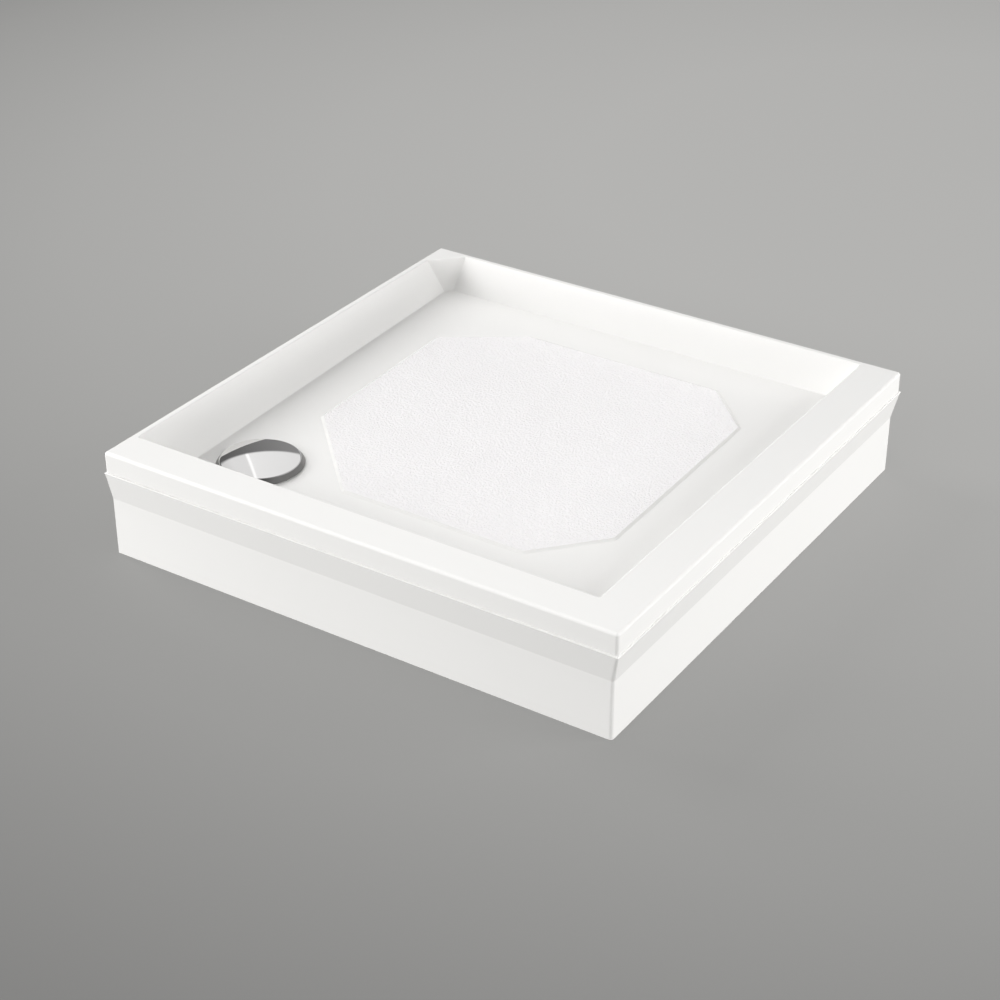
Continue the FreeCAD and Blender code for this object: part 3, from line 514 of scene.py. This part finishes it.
# --------------------------------------------------------------- tray shell
# Vacuum-formed white acrylic, about 4 mm thick: wide rims in front and on the
# right, narrow ones at the walls, a basin that falls to the drain corner and a
# raised octagonal standing area whose top is moulded with a fine pebbled grip.
acrylic_light = (0.848, 0.841, 0.826)
acrylic_dark = (0.836, 0.829, 0.814)
white_acrylic = moulded_finish("white_acrylic", acrylic_light, acrylic_dark, 0.22, 0.26, 0.000004,
                               patch=6.0, grain=45.0)
mat_corners = [(-0.279, -0.078), (-0.130, -0.231), (0.159, -0.230), (0.243, -0.138),
               (0.2435, 0.2065), (0.162, 0.288), (-0.160, 0.289), (-0.278, 0.211)]

grip, nodes, links, shader = new_finish("pebbled_acrylic", acrylic_light, 0.5)
# Painted light: the grip's colours are lighter than the shell's own acrylic so that the standing area shows
# brighter.
surface = place_effect(nodes, links, moulded_surface, Patch_Scale=6.0, Grain_Scale=90.0,
                       Light=(0.905, 0.888, 0.893, 1), Dark=(0.890, 0.874, 0.879, 1),
                       Smooth=0.40, Rough=0.46)
paint(links, surface, shader)
place = nodes.new("ShaderNodeTexCoord")
pebble = nodes.new("ShaderNodeTexNoise")
pebble.inputs["Scale"].default_value = 305.0
pebble.inputs["Detail"].default_value = 1.0
pebble.inputs["Distortion"].default_value = 0.2
links.new(place.outputs["Object"], pebble.inputs["Vector"])
crisp = nodes.new("ShaderNodeMapRange")
crisp.interpolation_type = "SMOOTHSTEP"
crisp.inputs["From Min"].default_value = 0.36
crisp.inputs["From Max"].default_value = 0.64
links.new(pebble.outputs["Fac"], crisp.inputs["Value"])
raise_surface(nodes, links, shader, crisp.outputs["Result"], 0.0005)


def smooth_copy(node, name, material, shape, facet_width=0.0022, turn=32.0):
    """A CAD node's mesh made one skin again and finished by shape. An edge between two
    flats stays crisp, and the narrow facets of a rounding are shaded as one curve."""
    one_flat, least_bend, straight_on = 0.99999, 0.01, 0.8
    fading_share, fading_limit = 0.5, 0.3
    mesh = cad[node].data.copy()
    mesh.materials.clear()
    mesh.materials.append(material)
    work = bmesh.new()
    work.from_mesh(mesh)
    bmesh.ops.remove_doubles(work, verts=work.verts, dist=1e-6)
    shape(work)
    work.normal_update()
    flat = {}
    for first in work.faces:
        first.smooth = True
        first.material_index = 0
        if first in flat:
            continue
        region, waiting = {first}, [first]
        while waiting:
            for edge in waiting.pop().edges:
                for face in edge.link_faces:
                    if face not in region and face.normal.dot(first.normal) > one_flat:
                        region.add(face)
                        waiting.append(face)
        corners = [vert.co for face in region for vert in face.verts]
        spans = [max(c[k] for c in corners) - min(c[k] for c in corners) for k in range(3)]
        wide = sum(face.calc_area() for face in region) > facet_width * Vector(spans).length
        for face in region:
            flat[face] = wide
    limit = math.radians(turn)
    bend = {e: e.calc_face_angle(0.0) if len(e.link_faces) == 2 else math.pi for e in work.edges}
    creases = []
    for edge in work.edges:
        between_flats = all(flat[face] for face in edge.link_faces) and bend[edge] > least_bend
        edge.smooth = bend[edge] < limit and not between_flats
        if between_flats:
            creases.append(edge)
    while creases:
        crease = creases.pop()
        for end in crease.verts:
            way = (end.co - crease.other_vert(end).co).normalized()
            for edge in end.link_edges:
                onward = (edge.other_vert(end).co - end.co).normalized()
                enough = fading_share * min(bend[crease], fading_limit)
                if edge.smooth and way.dot(onward) > straight_on and bend[edge] > enough:
                    edge.smooth = False
                    creases.append(edge)
    work.to_mesh(mesh)
    work.free()
    piece = bpy.data.objects.new(name, mesh)
    bpy.context.scene.collection.objects.link(piece)
    weigh = piece.modifiers.new("even_shading", "WEIGHTED_NORMAL")
    weigh.keep_sharp = True
    weigh.weight = 100
    return piece


def close_right_lip(work, lip_bottom=0.1341, lip_inside=0.38, drop=0.00025):
    """The lip on the right bears on the apron: its edge comes down to it."""
    for vert in work.verts:
        if vert.co.z < lip_bottom and vert.co.x > lip_inside:
            vert.co.z -= drop


tray = smooth_copy("tray_shell", "formed_tray_shell", white_acrylic, close_right_lip)
tray.data.materials.append(grip)
mat_lowest, mat_highest = 0.105, 0.125
for face in tray.data.polygons:
    x, y, z = face.center
    inside = all(
        (bx - ax) * (y - ay) - (by - ay) * (x - ax) > 0.0
        for (ax, ay), (bx, by) in zip(mat_corners, mat_corners[1:] + mat_corners[:1]))
    if inside and face.normal.z > 0.99 and mat_lowest < z < mat_highest:
        face.material_index = 1
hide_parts("tray_shell")
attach(tray, "tray")

# --------------------------------------------------------- laminate backing
# Chopped glass strand and resin rolled on under the shell, rough and translucent
# yellow, with the strands showing.
laminate = moulded_finish("strand_laminate", (0.74, 0.69, 0.54), (0.58, 0.53, 0.38), 0.35, 0.7, 0.0006,
                          patch=60.0, grain=220.0)
dress(laminate, "laminate_backing")

# -------------------------------------------------------------------- apron
# One L-shaped panel of folded white acrylic that closes the two open sides. It
# slides up under the rim's lip, with a round bead below the lip, a slanted band
# and an upright face. The near corner is rounded from the foot to the bead.
knee_z, knee_out, band_top, band_out = 0.0878, 0.3903, 0.1309, 0.40074
corner_radius, corner_fade, corner_steps = 0.005, 0.0065, 4


def round_band_corner(work):
    """Carry the rounding of the face's corner on up the slanted band: level its foot
    at the knee, cut the band into narrow strips and turn those round the corner."""
    middle = knee_out - corner_radius
    for vert in work.verts:
        if 0.08 < vert.co.z < knee_z and vert.co.x > middle - 0.001 and vert.co.y < -middle + 0.001:
            vert.co.z = knee_z
    work.normal_update()
    band = [face for face in work.faces
            if all(knee_z - 1e-5 < vert.co.z < band_top + 2e-5 for vert in face.verts)
            and face.normal.z < -0.1 and (face.normal.x > 0.5 or face.normal.y < -0.5)]
    cuts = [((0, 0, band_top - corner_fade), (0, 0, 1))]
    for k in range(-corner_steps, corner_steps + 1):
        cuts.append(((k / corner_steps * corner_radius, 0, 0), (1, 1, 0)))
    for spot, across_cut in cuts:
        parts = set(band) | {e for f in band for e in f.edges} | {v for f in band for v in f.verts}
        made = bmesh.ops.bisect_plane(work, geom=list(parts), dist=1e-6, plane_co=spot,
                                      plane_no=across_cut)
        band = [part for part in made["geom"] if isinstance(part, bmesh.types.BMFace)]
    for vert in {vert for face in band for vert in face.verts}:
        x, y, z = vert.co
        off = x + y
        radius = corner_radius * min(1.0, max(0.0, (band_top - z) / corner_fade))
        out = knee_out + (z - knee_z) * (band_out - knee_out) / (band_top - knee_z)
        if z < knee_z + 1e-5:
            arm = Vector((x - middle, y + middle, 0))
            if arm.x > 0 and arm.y < 0:
                vert.co = Vector((middle, -middle, z)) + arm.normalized() * corner_radius
        elif abs(off) < radius:
            turn = math.radians(45.0) * (1.0 - abs(off) / radius)
            near = out - radius + radius * math.sin(turn)
            far = out - radius + radius * math.cos(turn)
            vert.co = Vector((near, -far, z)) if off < 0 else Vector((far, -near, z))


apron = smooth_copy("apron_panel", "folded_apron", white_acrylic, round_band_corner)
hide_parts("apron_panel")
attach(apron, "apron")

# ---------------------------------------------------------- waste and trap
# The waste clamps the shell between two rubber gaskets and a stainless flange
# with three screws. The trap body, its nut and the pipes are moulded plastic.
black_rubber = moulded_finish("black_rubber", (0.035, 0.035, 0.035), (0.022, 0.022, 0.022),
                              0.6, 0.8, 0.0001)
dress(black_rubber, "waste_gasket_upper", "waste_gasket_lower", "dip_tube_oring", "outlet_seal")
white_plastic = moulded_finish("white_trap_moulding", (0.80, 0.80, 0.78), (0.76, 0.76, 0.74),
                               0.35, 0.5, 0.00006)
dress(white_plastic, "trap_body", "outlet_nut")
grey_plastic = moulded_finish("grey_moulding", (0.38, 0.39, 0.40), (0.33, 0.34, 0.35), 0.35, 0.5, 0.00006)
dress(grey_plastic, "dip_tube", "cover_carrier", "outlet_pipe")
stainless, nodes, links, shader = new_finish("stainless_steel", (0.64, 0.63, 0.61), 0.25, 1.0)
crystals = place_effect(nodes, links, zinc_crystals, Crystal_Scale=900.0, Smooth=0.2, Rough=0.3,
                        Light=(0.66, 0.65, 0.63, 1), Dark=(0.60, 0.59, 0.57, 1))
paint(links, crystals, shader)
dress(stainless, "waste_flange")
recessed_screws("waste_flange_screws", "flange_cross_screws", stainless)

# -------------------------------------------------------------- drain cover
# A pressed cap with a low crown on a flared wall, nickel and chrome plated: a mirror on top, and on
# the wall a satin chrome painted dark grey, a painted dark reflection. It hides the waste and lifts off by
# hand.
chrome, nodes, links, shader = new_finish("chrome_plate", (0.79, 0.782, 0.777), 0.05, 1.0)
surface = place_effect(nodes, links, moulded_surface, Patch_Scale=30.0, Grain_Scale=60.0,
                       Light=(0.80, 0.792, 0.787, 1), Dark=(0.775, 0.767, 0.762, 1),
                       Smooth=0.015, Rough=0.04)
paint(links, surface, shader)
# Painted reflection: the wall's chrome is painted dark grey so that it shows a dark room instead of the
# white tray it faces.
chrome_painted_dark, nodes, links, shader = new_finish("chrome_painted_dark", (0.26, 0.257, 0.252), 0.35, 1.0)
surface = place_effect(nodes, links, moulded_surface, Patch_Scale=60.0, Grain_Scale=500.0,
                       Light=(0.28, 0.277, 0.272, 1), Dark=(0.23, 0.227, 0.222, 1),
                       Smooth=0.28, Rough=0.42)
paint(links, surface, shader)
drain_x, drain_y = -0.2695, -0.2320
cover_low, cover_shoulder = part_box("waste_cover")[0].z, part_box("waste_cover")[0].z + 0.007
cover_base, cover_edge, cover_crown, cover_sheet = 0.062, 0.057, 0.00258, 0.0015
cover_steps, shoulder_width = 128, 0.0011
shoulder_bend, crisp_bend = math.radians(35.0), math.radians(60.0)


def cap_outline(inset, steps=26):
    """Half the cap's section from its middle to its rim, moved in by inset."""
    edge = cover_edge - inset
    bend = (edge ** 2 + cover_crown ** 2) / (2 * cover_crown)
    top = cover_shoulder - inset
    line = [(edge * k / steps, top + cover_crown - bend
             + math.sqrt(bend ** 2 - (edge * k / steps) ** 2)) for k in range(steps + 1)]
    return line + [(cover_base - inset, cover_low)]


cap = bmesh.new()
section = cap_outline(0.0) + cap_outline(cover_sheet)[::-1]
points = [cap.verts.new((drain_x + r, drain_y, z)) for r, z in section]
lines = [cap.edges.new(pair) for pair in zip(points, points[1:])]
bmesh.ops.spin(cap, geom=points + lines, cent=(drain_x, drain_y, 0), axis=(0, 0, 1),
               angle=2 * math.pi, steps=cover_steps, use_merge=True)
bmesh.ops.remove_doubles(cap, verts=cap.verts, dist=1e-6)
bmesh.ops.recalc_face_normals(cap, faces=cap.faces)
for face in cap.faces:
    face.smooth = True
    face.material_index = 0 if abs(face.normal.z) > 0.9 else 1
rolled = cap.edges.layers.float.new("bevel_weight_edge")
for line in cap.edges:
    line.smooth = line.calc_face_angle(0.0) < crisp_bend
    reach = max(math.hypot(vert.co.x - drain_x, vert.co.y - drain_y) for vert in line.verts)
    line[rolled] = float(line.calc_face_angle(0.0) > shoulder_bend and reach < cover_edge + 0.0001)
cap_mesh = bpy.data.meshes.new("plated_drain_cover")
cap.to_mesh(cap_mesh)
cap.free()
cap_mesh.materials.append(chrome)
cap_mesh.materials.append(chrome_painted_dark)
cover = bpy.data.objects.new("plated_drain_cover", cap_mesh)
bpy.context.scene.collection.objects.link(cover)
rim = cover.modifiers.new("rolled_shoulder", "BEVEL")
rim.width, rim.segments, rim.limit_method = shoulder_width, 4, "WEIGHT"
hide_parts("waste_cover")
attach(cover, "cover")

# ------------------------------------------------------------ floor and light
# A studio floor without an edge whose light is painted: its own matt grey is dark, so cast
# shadows on it stay faint, and a painted glow stands in for the lamps' light on it, brightest
# behind the tray and darker towards the viewer. Soft boxes round it: high ones for the basin and
# the rims, and low ones left and right that light the apron and leave its corner dark.
def grey_ramp(nodes, stops, tint=(1.0, 1.0, 1.0)):
    """A colour ramp of greys, one (position, level) for each stop."""
    ramp = nodes.new("ShaderNodeValToRGB")
    ramp.color_ramp.elements.remove(ramp.color_ramp.elements[1])
    for k, (at, level) in enumerate(stops):
        stop = ramp.color_ramp.elements[0] if k == 0 else ramp.color_ramp.elements.new(at)
        stop.position, stop.color = at, (*[level * part for part in tint], 1)
    return ramp


floor_mesh = bpy.data.meshes.new("studio_floor")
floor_half = 40.0
floor_mesh.from_pydata([(-floor_half, -floor_half, 0), (floor_half, -floor_half, 0),
                        (floor_half, floor_half, 0), (-floor_half, floor_half, 0)], [], [(0, 1, 2, 3)])
floor = bpy.data.objects.new("studio_floor", floor_mesh)
bpy.context.scene.collection.objects.link(floor)
# The floor's own colour is a dark matt grey so that cast shadows on it stay faint; the light on it is the
# painted glow below.
floor_paint_with_painted_glow, nodes, links, shader = new_finish("floor_paint_with_painted_glow", (0.07, 0.0695, 0.0683), 0.9)
shader.inputs["Specular IOR Level"].default_value = 0.1
place = nodes.new("ShaderNodeTexCoord")
away = nodes.new("ShaderNodeVectorMath")
away.operation = "DISTANCE"
away.inputs[1].default_value = (0.0, 1.5, 0.0)
links.new(place.outputs["Object"], away.inputs[0])
reach = nodes.new("ShaderNodeMapRange")
reach.inputs["From Min"].default_value = 0.2
reach.inputs["From Max"].default_value = 2.6
links.new(away.outputs["Value"], reach.inputs["Value"])
# Painted light: the floor glows with this ramp of greys in place of the lamps' light falling on it.
glow = grey_ramp(nodes, ((0.0, 0.389), (0.2, 0.388), (0.4, 0.363), (0.6, 0.317), (0.8, 0.248), (1.0, 0.158)),
                 tint=(1.0, 0.994, 0.972))
links.new(reach.outputs["Result"], glow.inputs["Fac"])
links.new(glow.outputs["Color"], shader.inputs["Emission Color"])
shader.inputs["Emission Strength"].default_value = 1.0
floor_mesh.materials.append(floor_paint_with_painted_glow)


def soft_box(name, place, aim, width, height, power):
    """A rectangular lamp that faces the point aim."""
    data = bpy.data.lights.new(name, "AREA")
    data.shape = "RECTANGLE"
    data.size, data.size_y, data.energy = width, height, power
    lamp = bpy.data.objects.new(name, data)
    lamp.location = place
    lamp.rotation_euler = (Vector(aim) - Vector(place)).to_track_quat("-Z", "Y").to_euler()
    bpy.context.scene.collection.objects.link(lamp)
    lamp.visible_camera = False
    lamp.visible_glossy = False
    return lamp


soft_box("high_left_box", (-4.0, 0.0, 3.0), (0, 0, 0), 2.0, 3.0, 189.0)
soft_box("high_front_box", (0.0, -4.0, 3.0), (0, 0, 0), 3.0, 2.0, 64.0)
soft_box("high_right_box", (3.6, 1.6, 2.0), (0, 0, 0), 2.0, 2.0, 103.0)
soft_box("high_back_box", (0.0, 4.0, 3.0), (0, 0, 0), 3.0, 2.0, 14.0)
soft_box("front_left_box", (-3.2, -3.2, 1.2), (0, 0, 0.1), 2.0, 1.5, 110.0)
soft_box("near_corner_box", (0.7, -0.7, 1.6), (0.4, -0.4, 0), 1.0, 1.0, 4.8)
low_left = soft_box("low_left_box", (-3.0, -3.0, 0.17), (0, 0, 0.08), 4.0, 0.3, 54.0)
low_right = soft_box("low_right_box", (4.0, 0.0, 0.17), (0, 0, 0.08), 4.0, 0.3, 80.0)

# The low boxes stand just above the floor and would burn a streak into it.
unlit_floor = bpy.data.collections.new("floor_kept_out_of_the_low_boxes")
unlit_floor.objects.link(floor)
unlit_floor.collection_objects[0].light_linking.link_state = "EXCLUDE"
low_left.light_linking.receiver_collection = unlit_floor
low_right.light_linking.receiver_collection = unlit_floor

# The studio round it: nearly dark to light by, and for mirrors a dark room with one
# bright round panel up behind and to the left, in two halves with a lit seam. A
# camera ray that misses the floor meets a pale backdrop.
world = bpy.data.worlds.new("studio")
bpy.context.scene.world = world
world.use_nodes = True
nodes, links = world.node_tree.nodes, world.node_tree.links
room = nodes["Background"]
room.inputs["Color"].default_value = (0.03, 0.03, 0.03, 1)
where = nodes.new("ShaderNodeTexCoord")
panel_turn, panel_up, panel_reach = math.radians(38.9), math.radians(34.45), 8.1
ahead = Vector((-math.sin(panel_turn), math.cos(panel_turn), 0.0))
panel = nodes.new("ShaderNodeVectorMath")
panel.operation = "DOT_PRODUCT"
panel.inputs[1].default_value = ahead * math.cos(panel_up) + Vector((0, 0, math.sin(panel_up)))
links.new(where.outputs["Generated"], panel.inputs[0])
inside_panel = nodes.new("ShaderNodeMapRange")
inside_panel.inputs["From Min"].default_value = math.cos(math.radians(panel_reach + 0.4))
inside_panel.inputs["From Max"].default_value = math.cos(math.radians(panel_reach - 0.4))
links.new(panel.outputs["Value"], inside_panel.inputs["Value"])
across = nodes.new("ShaderNodeVectorMath")
across.operation = "DOT_PRODUCT"
across.inputs[1].default_value = (0.719, 0.693, -0.049)
links.new(where.outputs["Generated"], across.inputs[0])
sides = nodes.new("ShaderNodeMapRange")
sides.inputs["From Min"].default_value = -0.5
sides.inputs["From Max"].default_value = 0.5
links.new(across.outputs["Value"], sides.inputs["Value"])
lit = grey_ramp(nodes, ((0.42, 0.72), (0.457, 0.89), (0.4985, 0.89), (0.5, 1.3), (0.504, 1.3),
                        (0.5065, 1.0), (0.613, 0.93)))
links.new(sides.outputs["Result"], lit.inputs["Fac"])
unlit = grey_ramp(nodes, ((0.447, 0.13), (0.595, 0.27), (0.66, 0.32), (0.8, 0.65)))
links.new(sides.outputs["Result"], unlit.inputs["Fac"])
wall = nodes.new("ShaderNodeMix")
wall.data_type = "RGBA"
links.new(inside_panel.outputs["Result"], wall.inputs["Factor"])
links.new(unlit.outputs["Color"], wall.inputs[6])
links.new(lit.outputs["Color"], wall.inputs[7])
mirror_room = nodes.new("ShaderNodeBackground")
links.new(wall.outputs[2], mirror_room.inputs["Color"])
rays = nodes.new("ShaderNodeLightPath")
seen = nodes.new("ShaderNodeMixShader")
links.new(rays.outputs["Is Glossy Ray"], seen.inputs["Fac"])
links.new(room.outputs["Background"], seen.inputs[1])
links.new(mirror_room.outputs["Background"], seen.inputs[2])
backdrop = nodes.new("ShaderNodeBackground")
backdrop.inputs["Color"].default_value = (0.36, 0.358, 0.35, 1)
behind = nodes.new("ShaderNodeMixShader")
links.new(rays.outputs["Is Camera Ray"], behind.inputs["Fac"])
links.new(seen.outputs["Shader"], behind.inputs[1])
links.new(backdrop.outputs["Background"], behind.inputs[2])
links.new(behind.outputs["Shader"], nodes["World Output"].inputs["Surface"])
bpy.context.scene.view_settings.view_transform = "Standard"

bpy.context.view_layer.update()
